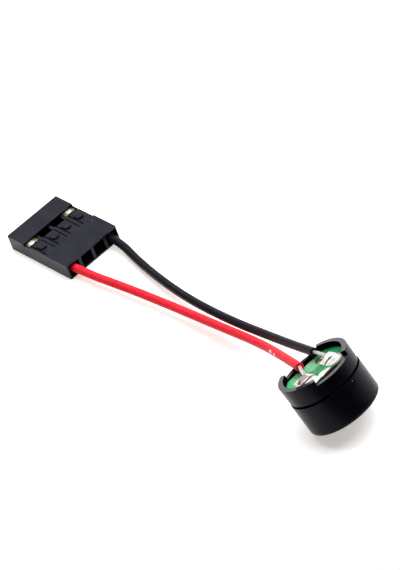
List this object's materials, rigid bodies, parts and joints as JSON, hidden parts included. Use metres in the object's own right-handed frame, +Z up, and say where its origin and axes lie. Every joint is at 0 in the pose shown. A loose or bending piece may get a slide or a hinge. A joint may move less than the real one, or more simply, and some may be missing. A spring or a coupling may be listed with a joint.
{
  "type": "piezo buzzer",
  "caption": "Small round piezo buzzer with a soldered circuit board in its open end, on a red and a black wire that end in a socket connector.",
  "frame": {"origin": "on the surface, at the middle of the buzzer's own box, without its wires and connector", "axes": "+Z up; +X away from the connector, square to the edge that the leaning buzzer rests on; +Y to the black wire's side"},
  "size_m": [0.0766, 0.028, 0.0117],
  "materials": {
    "case_plastic": "satin moulded black plastic",
    "board_laminate": "green solder resist on glass-filled laminate",
    "solder": "bright tinned solder",
    "copper": "tinned copper foil",
    "tinned_strands": "tinned copper strands",
    "red_insulation": "satin red insulation",
    "black_insulation": "satin black insulation",
    "housing_plastic": "matte black moulded plastic",
    "terminal_metal": "tin-plated sheet",
    "plate_brass": "thin rolled brass",
    "piezo_ceramic": "fired ceramic",
    "silver_layer": "fired silver",
    "adhesive": "soft silicone adhesive"
  },
  "bodies": {
    "root": {"sounder_case": "case_plastic", "base_ring": "case_plastic", "circuit_board": "board_laminate", "red_pad": "copper", "black_pad": "copper", "red_solder": "solder", "black_solder": "solder", "red_conductor_end": "tinned_strands", "black_conductor_end": "tinned_strands", "red_wire": "red_insulation", "black_wire": "black_insulation", "connector_housing": "housing_plastic", "red_terminal": "terminal_metal", "black_terminal": "terminal_metal", "red_crimped_core": "tinned_strands", "black_crimped_core": "tinned_strands", "piezo_plate": "plate_brass", "ceramic_disc": "piezo_ceramic", "electrode": "silver_layer", "mounting_adhesive": "adhesive", "plate_lead": "tinned_strands", "electrode_lead": "tinned_strands", "plate_joint": "solder", "electrode_joint": "solder"}
  },
  "joints": []
}
